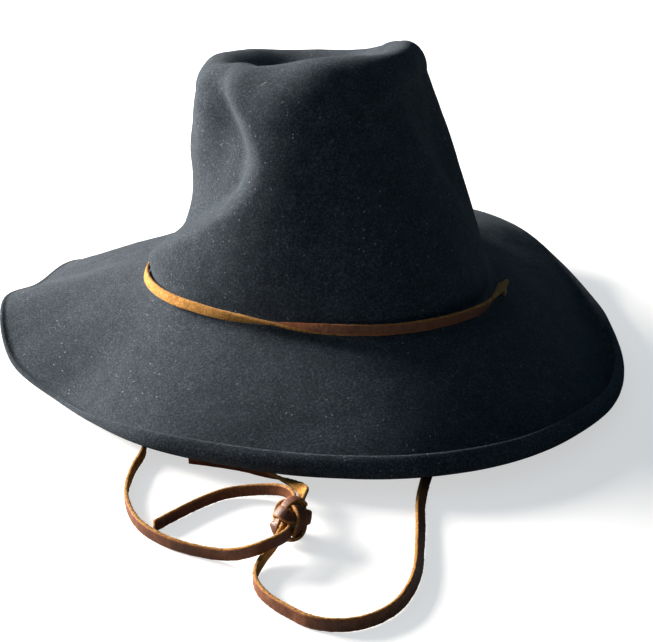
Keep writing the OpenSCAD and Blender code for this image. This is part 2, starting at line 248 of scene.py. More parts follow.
# ------------------------------------------------------------------ small helpers
def waves(seed, n, low, high):
    """A fixed sum of soft waves; low and high are the shortest and longest, in mm."""
    r = np.random.default_rng(seed)
    k = r.normal(size=(n, 3))
    k /= np.linalg.norm(k, axis=1)[:, None]
    k *= (2 * np.pi / r.uniform(low, high, n))[:, None]
    ph = r.uniform(0, 2 * np.pi, n)
    return lambda p: np.sin(p @ k.T + ph).sum(-1) / math.sqrt(n)


def grid_normals(g, mid=None, closed=True):
    u = np.roll(g, -1, 1) - np.roll(g, 1, 1)
    up, dn = np.empty_like(g), np.empty_like(g)
    up[:-1] = g[1:]
    up[-1] = g[-1] if mid is None else mid
    dn[1:] = g[:-1]
    dn[0] = g[0]
    n = np.cross(u, up - dn)
    return n / np.maximum(1e-12, np.linalg.norm(n, axis=-1, keepdims=True))


def new_mesh(name, verts, faces, mats, mat_index=None, smooth=True, vec=None):
    me = bpy.data.meshes.new(name)
    me.from_pydata([tuple(v) for v in np.asarray(verts, float) * MM], [], [tuple(int(i) for i in f) for f in faces])
    for m in mats:
        me.materials.append(m)
    if mat_index is not None:
        me.polygons.foreach_set("material_index", np.asarray(mat_index, np.int32))
    if smooth:
        me.polygons.foreach_set("use_smooth", np.ones(len(me.polygons), bool))
    if vec is not None:
        at = me.attributes.new("lay", "FLOAT_VECTOR", "POINT")
        at.data.foreach_set("vector", (np.asarray(vec, np.float32) * MM).ravel())
    me.update()
    ob = bpy.data.objects.new(name, me)
    scene.collection.objects.link(ob)
    return ob


def spline(pts, step):
    """A smooth line through the points, resampled every step mm; also gives each new point's place in the old list."""
    p = np.asarray(pts, float)
    n = len(p)
    d = np.sqrt(np.maximum(1e-9, np.linalg.norm(np.diff(p, axis=0), axis=1)))
    t = np.concatenate([[0], np.cumsum(d)])
    m = np.empty_like(p)
    for i in range(n):
        if i == 0:
            m[i] = (p[1] - p[0]) / (t[1] - t[0])
        elif i == n - 1:
            m[i] = (p[-1] - p[-2]) / (t[-1] - t[-2])
        else:
            a, b = (p[i] - p[i - 1]) / (t[i] - t[i - 1]), (p[i + 1] - p[i]) / (t[i + 1] - t[i])
            w0, w1 = t[i + 1] - t[i], t[i] - t[i - 1]
            m[i] = (a * w0 + b * w1) / (w0 + w1)
    out, where = [], []
    for i in range(n - 1):
        h = t[i + 1] - t[i]
        for s in np.arange(0, 1, 0.02):
            out.append((2 * s ** 3 - 3 * s * s + 1) * p[i] + (s ** 3 - 2 * s * s + s) * h * m[i]
                       + (3 * s * s - 2 * s ** 3) * p[i + 1] + (s ** 3 - s * s) * h * m[i + 1])
            where.append(i + s)
    out.append(p[-1])
    where.append(n - 1)
    out, where = np.array(out), np.array(where, float)
    s = np.concatenate([[0], np.cumsum(np.linalg.norm(np.diff(out, axis=0), axis=1))])
    k = max(2, int(round(s[-1] / step)) + 1)
    at = np.linspace(0, s[-1], k)
    return np.stack([np.interp(at, s, out[:, i]) for i in range(3)], 1), np.interp(at, s, where), at


def tangents(p):
    t = np.gradient(p, axis=0)
    return t / np.maximum(1e-9, np.linalg.norm(t, axis=1)[:, None])


def unit(v):
    v = np.asarray(v, float)
    return v / np.maximum(1e-9, np.linalg.norm(v, axis=-1, keepdims=True))


# ------------------------------------------------------------------ material helpers
class Nodes:
    def __init__(self, name):
        self.mat = bpy.data.materials.new(name)
        self.mat.use_nodes = True
        self.tree = self.mat.node_tree
        self.tree.nodes.clear()
        self.out = self.tree.nodes.new("ShaderNodeOutputMaterial")
        self.co = self.add("ShaderNodeTexCoord").outputs["Object"]

    def add(self, kind, inputs=None, **props):
        n = self.tree.nodes.new(kind)
        for k, v in props.items():
            setattr(n, k, v)
        for k, v in (inputs or {}).items():
            s = n.inputs[k]
            if isinstance(v, bpy.types.NodeSocket):
                self.tree.links.new(v, s)
            else:
                s.default_value = v
        return n

    def noise(self, scale, detail=3.0, rough=0.6, vector=None, distort=0.0):
        return self.add("ShaderNodeTexNoise", {"Vector": vector or self.co, "Scale": scale, "Detail": detail,
                                               "Roughness": rough, "Distortion": distort}).outputs[0]

    def voronoi(self, scale, vector=None, feature="F1", out="Distance", randomness=1.0):
        return self.add("ShaderNodeTexVoronoi", {"Vector": vector or self.co, "Scale": scale, "Randomness": randomness},
                        feature=feature).outputs[out]

    def math(self, op, a, b=0.5, clamp=False):
        return self.add("ShaderNodeMath", {0: a, 1: b}, operation=op, use_clamp=clamp).outputs[0]

    def ramp(self, fac, stops, mode="LINEAR"):
        n = self.add("ShaderNodeValToRGB", {"Fac": fac})
        n.color_ramp.interpolation = mode
        e = n.color_ramp.elements
        while len(e) < len(stops):
            e.new(0.5)
        for x, (pos, col) in zip(e, stops):
            x.position = pos
            x.color = (*col, 1) if len(col) == 3 else col
        return n.outputs["Color"]

    def mix(self, fac, a, b, blend="MIX"):
        return self.add("ShaderNodeMixRGB", {"Fac": fac, "Color1": a, "Color2": b}, blend_type=blend).outputs[0]

    def scaled(self, vector, xyz):
        return self.add("ShaderNodeMapping", {"Vector": vector, "Scale": xyz}).outputs[0]

    def attr(self, name="lay"):
        return self.add("ShaderNodeAttribute", attribute_name=name).outputs["Vector"]

    def bump(self, height, strength, distance, normal=None):
        d = {"Height": height, "Strength": strength, "Distance": distance}
        if normal is not None:
            d["Normal"] = normal
        return self.add("ShaderNodeBump", d).outputs[0]

    def finish(self, color, rough, normal=None, sheen=0.0, sheen_rough=0.5, sheen_tint=(1, 1, 1), specular=0.5, coat=0.0,
               coat_rough=0.3, subsurface=0.0):
        b = self.add("ShaderNodeBsdfPrincipled")
        for key, v in (("Base Color", color), ("Roughness", rough), ("Normal", normal)):
            if v is None:
                continue
            if isinstance(v, bpy.types.NodeSocket):
                self.tree.links.new(v, b.inputs[key])
            else:
                b.inputs[key].default_value = (*v, 1) if key == "Base Color" else v
        b.inputs["Sheen Weight"].default_value = sheen
        b.inputs["Sheen Roughness"].default_value = sheen_rough
        b.inputs["Sheen Tint"].default_value = (*sheen_tint, 1)
        b.inputs["Specular IOR Level"].default_value = specular
        b.inputs["Coat Weight"].default_value = coat
        b.inputs["Coat Roughness"].default_value = coat_rough
        self.tree.links.new(b.outputs[0], self.out.inputs["Surface"])
        return self.mat


def felt_material():
    g = Nodes("wool_felt")
    big = g.noise(22, 3, 0.55)
    mid = g.noise(150, 4, 0.65)
    fine = g.noise(1050, 4, 0.85)
    stretch = g.noise(520, 2, 0.7, g.scaled(g.co, (0.35, 1.0, 0.6)))
    base = g.ramp(big, [(0.3, (0.0212, 0.0275, 0.0362)), (0.7, (0.0300, 0.0376, 0.0480))])
    grain = g.ramp(fine, [(0.32, (0.24, 0.25, 0.26)), (0.50, (0.80, 0.82, 0.83)), (0.70, (2.7, 2.66, 2.58))])
    col = g.mix(1.0, base, grain, "MULTIPLY")
    col = g.mix(1.0, col, g.ramp(mid, [(0.25, (0.66, 0.68, 0.70)), (0.75, (1.30, 1.28, 1.25))]), "MULTIPLY")
    # pale specks of lint caught in the nap
    cloud = g.ramp(g.noise(35, 2, 0.5), [(0.40, (0.2, 0.2, 0.2)), (0.62, (1, 1, 1))])
    for scale, size, few in ((420.0, 0.17, 0.84), (170.0, 0.09, 0.92)):
        cell = g.add("ShaderNodeTexVoronoi", {"Vector": g.co, "Scale": scale, "Randomness": 1.0})
        pick = g.add("ShaderNodeSeparateColor", {"Color": cell.outputs["Color"]}).outputs[0]
        dot = g.math("LESS_THAN", cell.outputs["Distance"], size)
        speck = g.math("MULTIPLY", g.math("MULTIPLY", dot, g.math("GREATER_THAN", pick, few)), cloud)
        col = g.mix(g.math("MULTIPLY", speck, 0.7), col, (0.23, 0.24, 0.25, 1))
    # a few fine pale hairs
    for scale, seed in ((55.0, 3.1), (75.0, 11.7)):
        moved = g.add("ShaderNodeMapping", {"Vector": g.co, "Location": (seed, seed * 0.7, -seed)}).outputs[0]
        n = g.noise(scale, 1.0, 0.4, moved)
        line = g.math("LESS_THAN", g.math("ABSOLUTE", g.math("SUBTRACT", n, 0.52)), 0.0011)
        part = g.math("GREATER_THAN", g.noise(120.0, 1.0, 0.5, moved), 0.63)
        col = g.mix(g.math("MULTIPLY", g.math("MULTIPLY", line, part), 0.55), col, (0.18, 0.18, 0.17, 1))
    n1 = g.bump(fine, 0.9, 0.00060)
    n2 = g.bump(stretch, 0.3, 0.0003, n1)
    n3 = g.bump(mid, 0.4, 0.0008, n2)
    return g.finish(col, 0.93, n3, sheen=0.07, sheen_rough=0.5, sheen_tint=(0.80, 0.90, 1.0), specular=0.06)


def grain_leather(name, dark, light, rough=0.45, crease=0.5, dirt=0.35):
    g = Nodes(name)
    lay = g.attr()
    big = g.noise(60, 4, 0.6)
    streak = g.noise(1.0, 3, 0.6, g.scaled(lay, (260.0, 900.0, 260.0)))
    cross = g.noise(1.0, 2, 0.6, g.scaled(lay, (1300.0, 120.0, 120.0)))
    pores = g.voronoi(1800, feature="F1")
    col = g.ramp(big, [(0.28, dark), (0.72, light)])
    col = g.mix(0.45, col, g.ramp(streak, [(0.3, (0.55, 0.5, 0.5)), (0.7, (1.3, 1.25, 1.2))]), "MULTIPLY")
    col = g.mix(crease, col, g.ramp(cross, [(0.38, (0.45, 0.42, 0.42)), (0.5, (1, 1, 1)), (0.75, (1.15, 1.15, 1.15))]), "MULTIPLY")
    # wear along the two edges of the strip
    side = g.add("ShaderNodeSeparateXYZ", {"Vector": lay}).outputs["Y"]
    edge = g.math("ABSOLUTE", side)
    wear = g.ramp(g.math("ADD", g.math("MULTIPLY", edge, 430.0), g.math("MULTIPLY", g.noise(900, 2, 0.6), 0.35)),
                  [(0.93, (0, 0, 0)), (1.25 / 1.3, (0.6, 0.6, 0.6))])
    col = g.mix(wear, col, (light[0] * 1.5, light[1] * 1.35, light[2] * 1.0, 1))
    r = g.ramp(big, [(0.3, (rough - 0.08,) * 3), (0.7, (rough + 0.12,) * 3)])
    n1 = g.bump(pores, 0.25, 0.00012)
    n2 = g.bump(cross, 0.5, 0.00030, n1)
    n3 = g.bump(streak, 0.25, 0.00018, n2)
    return g.finish(col, r, n3, specular=0.30)


def suede_leather(name, dark, mid, light):
    g = Nodes(name)
    lay = g.attr()
    n = g.noise(850, 4, 0.75)
    n2 = g.noise(160, 3, 0.6)
    fib = g.noise(1.0, 3, 0.7, g.scaled(lay, (700.0, 1700.0, 1700.0)))
    col = g.ramp(n, [(0.28, dark), (0.5, mid), (0.74, light)])
    col = g.mix(0.7, col, g.ramp(n2, [(0.3, (0.72, 0.68, 0.6)), (0.7, (1.15, 1.12, 1.1))]), "MULTIPLY")
    col = g.mix(0.5, col, g.ramp(fib, [(0.32, (0.5, 0.42, 0.33)), (0.55, (1, 1, 1)), (0.8, (1.3, 1.28, 1.2))]), "MULTIPLY")
    b = g.bump(n, 0.8, 0.0004)
    b = g.bump(fib, 0.7, 0.0003, b)
    return g.finish(col, 0.92, b, sheen=0.12, sheen_rough=0.4, sheen_tint=(1.0, 0.80, 0.5), specular=0.12)


def thread_material(name, dark, light, sheen=0.1, scale=1.0):
    g = Nodes(name)
    lay = g.attr()
    tw = g.add("ShaderNodeTexWave", {"Vector": g.scaled(lay, (1.0, 0.6, 0.6)), "Scale": 900.0 * scale, "Distortion": 1.5,
                                     "Detail": 2.0, "Detail Scale": 2.0}, wave_type="BANDS", bands_direction="DIAGONAL").outputs[1]
    col = g.ramp(tw, [(0.1, dark), (0.9, light)])
    col = g.mix(0.4, col, g.ramp(g.noise(500, 3, 0.6), [(0.3, (0.6, 0.6, 0.6)), (0.7, (1.3, 1.3, 1.3))]), "MULTIPLY")
    return g.finish(col, 0.75, g.bump(tw, 0.6, 0.0002), sheen=sheen, specular=0.3)


def ribbon_material():
    g = Nodes("grosgrain_ribbon")
    lay = g.attr()
    ribs = g.add("ShaderNodeTexWave", {"Vector": lay, "Scale": 620.0, "Distortion": 0.3, "Detail": 1.0},
                 wave_type="BANDS", bands_direction="X").outputs[1]
    col = g.ramp(ribs, [(0.1, (0.006, 0.007, 0.009)), (0.9, (0.022, 0.024, 0.030))])
    col = g.mix(0.5, col, g.ramp(g.noise(300, 3, 0.6), [(0.3, (0.6, 0.6, 0.6)), (0.7, (1.4, 1.4, 1.4))]), "MULTIPLY")
    return g.finish(col, 0.6, g.bump(ribs, 0.8, 0.00025), sheen=0.2, specular=0.35)


def band_leather():
    g = Nodes("sweatband_leather")
    big = g.noise(30, 4, 0.6)
    cell = g.voronoi(1100, feature="DISTANCE_TO_EDGE")
    fine = g.noise(700, 3, 0.6)
    col = g.ramp(big, [(0.3, (0.030, 0.016, 0.009)), (0.7, (0.062, 0.035, 0.020))])
    col = g.mix(0.5, col, g.ramp(cell, [(0.0, (0.45, 0.42, 0.4)), (0.12, (1, 1, 1))]), "MULTIPLY")
    col = g.mix(0.4, col, g.ramp(fine, [(0.3, (0.7, 0.7, 0.7)), (0.7, (1.25, 1.25, 1.25))]), "MULTIPLY")
    r = g.ramp(g.noise(45, 3, 0.5), [(0.3, (0.42,) * 3), (0.7, (0.62,) * 3)])
    b = g.bump(cell, 0.35, 0.00015)
    b = g.bump(g.noise(120, 3, 0.5), 0.25, 0.0006, b)
    return g.finish(col, r, b, specular=0.4)


FELT = felt_material()
GRAIN = grain_leather("lace_grain", (0.082, 0.026, 0.010), (0.205, 0.068, 0.024))
SUEDE = suede_leather("lace_suede", (0.155, 0.058, 0.011), (0.42, 0.196, 0.042), (0.66, 0.36, 0.10))
CUT = suede_leather("lace_cut_edge", (0.095, 0.036, 0.009), (0.32, 0.148, 0.036), (0.58, 0.32, 0.10))
KGRAIN = grain_leather("knot_grain", (0.074, 0.023, 0.009), (0.185, 0.060, 0.022), 0.56, 0.35)
THREAD = thread_material("band_thread", (0.010, 0.010, 0.012), (0.040, 0.041, 0.046))
REED = thread_material("reed_cord", (0.42, 0.38, 0.29), (0.72, 0.68, 0.58), 0.15, 0.8)
RIBBON = ribbon_material()
BAND = band_leather()

# ------------------------------------------------------------------ laces: a flat strip swept along a line
LW, LT = 4.8, 1.5


def strip(name, line, side, mats, w=LW, t=LT, widths=None, thick=None, rough=0.07, seed=1, closed=False, crown=0.12, tip=0.0):
    """line: points in mm; side: direction of the strip's width at each point. The first material is on the +normal face
    (tangent x side), the second on the other face and the third on the two cut edges."""
    n = len(line)
    if closed:
        tg = unit(np.roll(line, -1, 0) - np.roll(line, 1, 0))
    else:
        tg = tangents(line)
    nn = unit(np.cross(tg, side))
    uu = unit(np.cross(nn, tg))
    wv = np.full(n, w) if widths is None else np.asarray(widths, float)
    tv = np.full(n, t) if thick is None else np.asarray(thick, float)
    a, b, c = 0.5, 0.5, 0.32
    # section: +face from +side to -side, edge, -face back, edge
    fx = np.array([1.0, 0.66, 0.33, 0.0, -0.33, -0.66, -1.0])
    prof = [(x, 1.0, 0) for x in fx] + [(-1.0, y, 2) for y in (0.45, -0.45)] + [(x, -1.0, 1) for x in fx[::-1]] + [(1.0, y, 2) for y in (-0.45, 0.45)]
    m = len(prof)
    r = np.random.default_rng(seed)
    wob = waves(seed + 40, 10, 2.5, 9.0)
    s = np.concatenate([[0], np.cumsum(np.linalg.norm(np.diff(line, axis=0), axis=1))])
    V, lay = [], []
    for i in range(n):
        hw, ht = wv[i] / 2, tv[i] / 2
        for k, (x, y, kind) in enumerate(prof):
            px, py = x * hw, y * ht
            if abs(x) == 1.0 and abs(y) == 1.0:  # soften the corner
                px -= math.copysign(0.18, x)
            if kind == 2:
                px += math.copysign(0.05, x)
            if y == 1.0:
                py += crown * (1 - x * x)
            V.append(line[i] + uu[i] * px + nn[i] * py)
            lay.append((s[i], px, py))
    V, lay = np.array(V), np.array(lay)
    kinds = np.array([p[2] for p in prof] * n)
    dirs = np.repeat(nn, m, 0) * np.sign(np.array([p[1] for p in prof] * n))[:, None]
    edge_dirs = np.repeat(uu, m, 0) * np.sign(np.array([p[0] for p in prof] * n))[:, None]
    V += np.where((kinds == 2)[:, None], edge_dirs, 0) * (r.normal(size=len(V)) * rough * 0.9)[:, None]
    V += np.where((kinds == 1)[:, None], dirs, 0) * (r.normal(size=len(V)) * rough)[:, None]
    V += dirs * (wob(V) * 0.05)[:, None]
    F, M = [], []
    rings = n if closed else n - 1
    for i in range(rings):
        j = (i + 1) % n
        for k in range(m):
            k2 = (k + 1) % m
            F.append((i * m + k, i * m + k2, j * m + k2, j * m + k))
            a1, a2 = prof[k], prof[k2]
            if a1[1] == 1.0 and a2[1] == 1.0:
                M.append(0)
            elif a1[1] == -1.0 and a2[1] == -1.0:
                M.append(1)
            else:
                M.append(2)
    if not closed:
        for at, flip in ((0, False), (n - 1, True)):
            base = at * m
            # cap: quads between the two faces
            for k in range(6):
                f = (base + k, base + k + 1, base + 9 + (5 - k), base + 9 + (6 - k))
                F.append(f if not flip else f[::-1])
                M.append(2)
            f = (base + 6, base + 7, base + 8, base + 9)
            F.append(f if not flip else f[::-1])
            M.append(2)
            f = (base + 15, base + 16, base + 17, base + 0)
            F.append(f if not flip else f[::-1])
            M.append(2)
    return new_mesh(name, V, F, mats, M, True, lay)


def fix_normals(ob):
    import bmesh
    bm = bmesh.new()
    bm.from_mesh(ob.data)
    bmesh.ops.recalc_face_normals(bm, faces=bm.faces)
    bm.to_mesh(ob.data)
    bm.free()


HR = beside(342, 8)
HL = beside(138, 7)


def out3(a):
    o = out_dir(np.asarray(float(a)))
    return np.array([o[0], o[1], 0.0])


LAY = np.array([-0.1, 0.9, 0.0])
left_pts = [[HL[0], HL[1], BH - 8.25], [HL[0], HL[1], BH - 11]] + [list(np.array(p) + LAY) for p in [
    [-64.5, 64.5, 29.5], [-70, 58.5, 20], [-76.5, 49.5, 11], [-82.5, 37, 5.5],
    [-86.5, 22, 3], [-88.5, 5, 2.7], [-89, -12, 2.7], [-88, -30, 2.7], [-86, -48, 2.7], [-83.5, -66, 2.7], [-80, -86, 2.7],
    [-76, -104, 2.7], [-72.5, -120, 2.7], [-71, -135, 2.7], [-73.5, -152, 2.7], [-74, -170, 2.7], [-71, -185, 2.7],
    [-65.5, -197.5, 2.7], [-58.5, -206, 2.7], [-49.5, -213, 2.7], [-40, -217.5, 2.7], [-33, -220.3, 3.2],
    [-27.5, -223, 4.8], [-22, -224.8, 7], [-17, -224.6, 8.8], [-12.6, -222, 9.4], [-9.4, -218, 9], [-8, -214.2, 8.3],
    [-7.4, -212.5, 8.2], [-3.2, -193, 8.2], [-2.4, -188, 8.1], [-2, -182, 7.4], [-2.6, -176, 6.2], [-5.2, -169.5, 4.8],
    [-10.5, -162, 3.4], [-17.5, -156, 2.8], [-27, -150, 2.7], [-39, -145.5, 2.7], [-51, -142, 2.7]]]
right_pts = [[HR[0], HR[1], BH - 9.05], [HR[0], HR[1], BH - 12]] + [list(np.array(p) + LAY) for p in [
    [92.5, -46, 27.5], [92, -51, 19.5], [90, -58, 12], [86.5, -67, 7],
    [82, -78, 4], [76.5, -92, 2.7], [70, -107, 2.7], [63, -122, 2.7], [56, -138, 2.7], [50, -153, 2.7],
    [46.5, -168, 2.7], [44.2, -183, 2.7], [43.2, -198, 2.7], [41.8, -214, 2.7], [40, -230, 2.7], [36.5, -243, 2.7],
    [31, -254, 2.7], [24, -261, 2.7], [16, -265, 2.7], [8.5, -265.5, 2.7], [1, -263.5, 2.7], [-6.5, -257.5, 2.7],
    [-13.5, -250, 2.7], [-18.3, -241, 2.7], [-19.2, -233, 2.7], [-17.8, -226.5, 2.9], [-15.6, -221.5, 3.8], [-13.2, -217.8, 5.4],
    [-11.4, -215.2, 7], [-10.3, -213, 8], [-9.9, -211.5, 8.2], [-5.8, -192.5, 8.2], [-5.7, -187.5, 8.1], [-7.4, -182, 7.6],
    [-11.5, -177, 6.6], [-17.5, -173.5, 5], [-25, -171.6, 3.5], [-33, -172.6, 2.8], [-42, -179, 2.7], [-51.5, -189, 2.7],
    [-59.5, -198.5, 2.7]]]


def lean_over(line, idx, table):
    """Width direction: straight up, tilted about the tangent by the angles in table (point index: degrees)."""
    tg = tangents(line)
    up = np.tile([0.0, 0.0, 1.0], (len(line), 1))
    up = unit(up - (up * tg).sum(1)[:, None] * tg)
    side = np.cross(tg, up)
    ang = np.interp(idx, [p[0] for p in table], [p[1] for p in table]) * D
    return up * np.cos(ang)[:, None] + side * np.sin(ang)[:, None]


n_left, n_right = len(left_pts), len(right_pts)
def make_chin(piece, node, pts, first, table, mats, seed):
    line, idx, s = spline(pts, 0.9)
    side = lean_over(line, idx, table)
    w = 1 - sm((idx - 2) / 4)
    side = unit(side * (1 - w)[:, None] + np.asarray(first) * w[:, None])
    ob = strip(piece, line, side, mats, seed=seed)
    fix_normals(ob)
    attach(ob, "hat")
    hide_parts(node)
    return ob, line


lace_l, line_l = make_chin("lace_left", "chin_lace_left", left_pts, -out3(138),
                           [(0, 0), (n_left - 10.5, 0), (n_left - 8.5, 25), (n_left - 6.5, 75), (n_left - 5.2, 110), (n_left - 3.6, 160), (n_left - 1, 176)],
                           [GRAIN, SUEDE, CUT], 11)
lace_r, line_r = make_chin("lace_right", "chin_lace_right", right_pts, -out3(342), [(0, 0), (3, 0), (6, 30), (11, 40), (14, 40), (16, 30), (19, 12), (22, 6), (24, 0), (n_right, 0)], [SUEDE, GRAIN, CUT], 12)


# ------------------------------------------------------------------ the woven slide knot
KNOT = LAY + np.array([-6.7, -203, 8.2])
KAX = np.array([math.sin(12 * D), math.cos(12 * D), 0.0])
KX = np.array([math.cos(12 * D), -math.sin(12 * D), 0.0])
KZ = np.array([0.0, 0.0, 1.0])


def knot():
    n = 520
    th = np.arange(n) / n * 6 * np.pi
    A, R, E = 6.6, 5.8, 0.95
    ph = 0.75
    z = A * np.cos(4 * th / 3)
    barrel = 1.1 * (np.abs(z) / A) ** 2.5
    r = R - barrel + E * np.sin(8 * th / 3)
    c, s = np.cos(th + ph), np.sin(th + ph)
    line = KNOT + (r * c)[:, None] * KX + (r * s)[:, None] * KZ + z[:, None] * KAX
    rad = c[:, None] * KX + s[:, None] * KZ
    # outward direction leans towards the ends
    tilt = np.sign(z) * (np.abs(z) / A) ** 3 * 0.75
    outw = unit(rad + tilt[:, None] * KAX)
    tg = unit(np.roll(line, -1, 0) - np.roll(line, 1, 0))
    side = unit(np.cross(outw, tg))
    ob = strip("knot_weave", line, side, [KGRAIN, SUEDE, CUT], w=4.9, t=1.3, seed=21, closed=True, crown=0.22, rough=0.05)
    fix_normals(ob)
    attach(ob, "knot")
    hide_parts("slide_knot")
    return ob


knot_ob = knot()


# ------------------------------------------------------------------ the felt
def felt():
    m = 272
    a = np.arange(m) * 360 / m
    R = around(RIDGE_H, a)
    rows = [lip(a, q) for q in (1.0, 0.5)]
    rows += [curl(a, q) for q in np.linspace(1, 0, 13)]
    rows += [brim(a, v) for v in np.linspace(1, 0.09, 48)[1:]]
    rows += [corner(a, q) for q in np.linspace(0, 1, 10)[1:]]
    rows += [wall(a, 6 + (R - roll_h(a) - 6) * t) for t in np.linspace(0, 1, 56)[1:]]
    rows += [roll_over(a, q) for q in np.linspace(0, 1, 12)[1:]]
    rows += [dent(a, k) for k in np.linspace(0, 0.965, 28)[1:]]
    g = np.array(rows)
    mid = np.array([CC[0], CC[1], BH + DENT])
    nrm = grid_normals(g, mid)
    soft, small = waves(5, 14, 26, 60), waves(6, 20, 7, 14)
    n = len(g)
    fade = np.ones(n)
    fade[:15] = np.linspace(0, 0.3, 15)
    fade[15:24] = np.linspace(0.3, 1, 9)
    fade[-6:] = np.linspace(1, 0, 6)
    g = g + nrm * ((soft(g) * 0.28 + small(g) * 0.05) * fade[:, None])[..., None]
    nrm = grid_normals(g, mid)
    h = g - FT * nrm
    rim = unit(g[0] - g[1])
    edge = []
    for f in (0.12, 0.25, 0.38, 0.5, 0.62, 0.75, 0.88):
        c = math.cos(math.pi * f)
        edge.append(g[0] * (1 + c) / 2 + h[0] * (1 - c) / 2 + rim * math.sin(math.pi * f) * 1.35)
    V = np.concatenate([g.reshape(-1, 3), mid[None], h.reshape(-1, 3), mid[None] - [[0, 0, FT]], *edge])
    V[:, 2] = np.maximum(V[:, 2], 0.05)
    c1 = n * m
    o = c1 + 1
    c2 = o + n * m
    e0 = c2 + 1
    j = np.arange(m)
    k = (j + 1) % m
    F = []
    for i in range(n - 1):
        F += list(zip(i * m + j, i * m + k, (i + 1) * m + k, (i + 1) * m + j))
        F += list(zip(o + i * m + j, o + (i + 1) * m + j, o + (i + 1) * m + k, o + i * m + k))
    ring = [np.arange(m)] + [e0 + i * m + j for i in range(len(edge))] + [o + j]
    for p, q in zip(ring[:-1], ring[1:]):
        F += list(zip(p[j], q[j], q[k], p[k]))
    F += [((n - 1) * m + x, (n - 1) * m + y, c1) for x, y in zip(j, k)]
    F += [(o + (n - 1) * m + x, c2, o + (n - 1) * m + y) for x, y in zip(j, k)]
    ob = new_mesh("hat_felt", V, F, [FELT])
    fix_normals(ob)
    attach(ob, "hat")
    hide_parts("felt_body")
    return ob


felt_ob = felt()


# ------------------------------------------------------------------ the lace round the crown
def band_lace():
    ang = [160 + 6.75 * i for i in range(25)]

    def band_d(a):
        return 2.9 + 3.2 * sm((a - 300) / 30)

    def band_z(a):
        return BH + 3.2 - 0.6 * sm((230 - a) / 40) + 0.7 * sm((202 - a) / 14)
    ll, lr = unit(beside(145, 6) - HL), unit(beside(336, 7) - HR)
    pts = [[HL[0], HL[1], BH - 8.2], [HL[0], HL[1], BH - 1], [*(HL + ll * 0.9), BH + 0.8], [*(HL + ll * 3), BH + 2], [*beside(149, 4.6), BH + 2.6]]
    an = [138, 138, 139, 142, 149]
    for a in ang:
        flat = float(sm((a - 222) / 16) * sm((286 - a) / 18))
        pts.append([*beside(a, float(band_d(a)) + 0.9 * flat), float(band_z(a)) - 0.2 * flat])
        an.append(a)
    pts += [[*beside(334, 6.6), BH + 2.6], [*(HR + lr * 3), BH + 2], [*(HR + lr * 0.9), BH + 0.8], [HR[0], HR[1], BH - 1], [HR[0], HR[1], BH - 9]]
    an += [334, 337, 341, 342, 342]
    line, idx, s = spline(pts, 0.8)
    a = np.interp(idx, np.arange(len(an)), an)
    tg = tangents(line)
    out = np.stack([np.append(out_dir(np.asarray(float(x))), 0.0) for x in a])
    # direction of the suede side, turning from outwards over the bottom to inwards, then up at the hole
    turn = np.interp(a, [138, 150, 175, 222, 240, 256, 270, 284, 318, 328, 336, 342], [60, 55, 22, 10, -22, -70, -128, -168, -184, -212, -250, -262]) * D
    sn = out * np.cos(turn)[:, None] + np.array([0, 0, 1.0]) * np.sin(turn)[:, None]
    # in the holes the strip stands on end
    endl = 1 - sm((idx - 1) / 2.5)
    endr = sm((idx - (len(an) - 4.5)) / 2.5)
    sn = sn * (1 - endl)[:, None] + out * endl[:, None]
    sn = sn * (1 - endr)[:, None] - out * endr[:, None]
    sn = unit(sn - (sn * tg).sum(1)[:, None] * tg)
    side = unit(np.cross(sn, tg))
    ob = strip("lace_band", line, side, [SUEDE, GRAIN, CUT], seed=31)
    fix_normals(ob)
    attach(ob, "hat")
    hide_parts("crown_lace")
    return ob


band_ob = band_lace()


# ------------------------------------------------------------------ sweatband, reed, stitches and bow
def sweatband():
    m = 216
    a = np.arange(m) * 360 / m
    rows = [corner(a, q) for q in (0.72, 0.8, 0.9)] + [wall(a, z) for z in np.linspace(6, 33.5, 20)]
    g = np.array(rows)
    n = grid_normals(g)
    wob = waves(71, 10, 30, 70)
    outer = g - n * (FT + 0.5)
    inner = g - n * (FT + 1.7)
    t = np.linspace(0, 1, len(g)) ** 2
    lift = (wob(inner) * 0.35 + 0.35) * t[:, None]
    outer = outer - n * np.maximum(0, lift)[..., None]
    inner = inner - n * np.maximum(0, lift)[..., None]
    # the fold round the reed, from the bottom of the inner face down and back up
    fold_in, fold_out = [], []
    for f in np.linspace(0, 1, 12):
        ang = math.pi + math.pi * 1.12 * f
        for r, to in ((1.95, fold_in), (1.15, fold_out)):
            to.append(brim_pt(a, -2.1 + r * math.cos(ang), -3.7 + r * math.sin(ang)))
    prof = list(inner[::-1]) + fold_in + fold_out[::-1] + list(outer)
    top = (inner[-1] + outer[-1]) / 2 + unit(g[-1] - g[-2]) * 0.55
    prof = prof + [top]
    P = np.array(prof)
    k = len(P)
    j = np.arange(m)
    j2 = (j + 1) % m
    F = []
    for i in range(k):
        i2 = (i + 1) % k
        F += list(zip(i * m + j, i * m + j2, i2 * m + j2, i2 * m + j))
    ob = new_mesh("sweat_band", P.reshape(-1, 3), F, [BAND])
    fix_normals(ob)
    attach(ob, "hat")
    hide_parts("sweatband")
    return inner, n


inner, inner_n = sweatband()


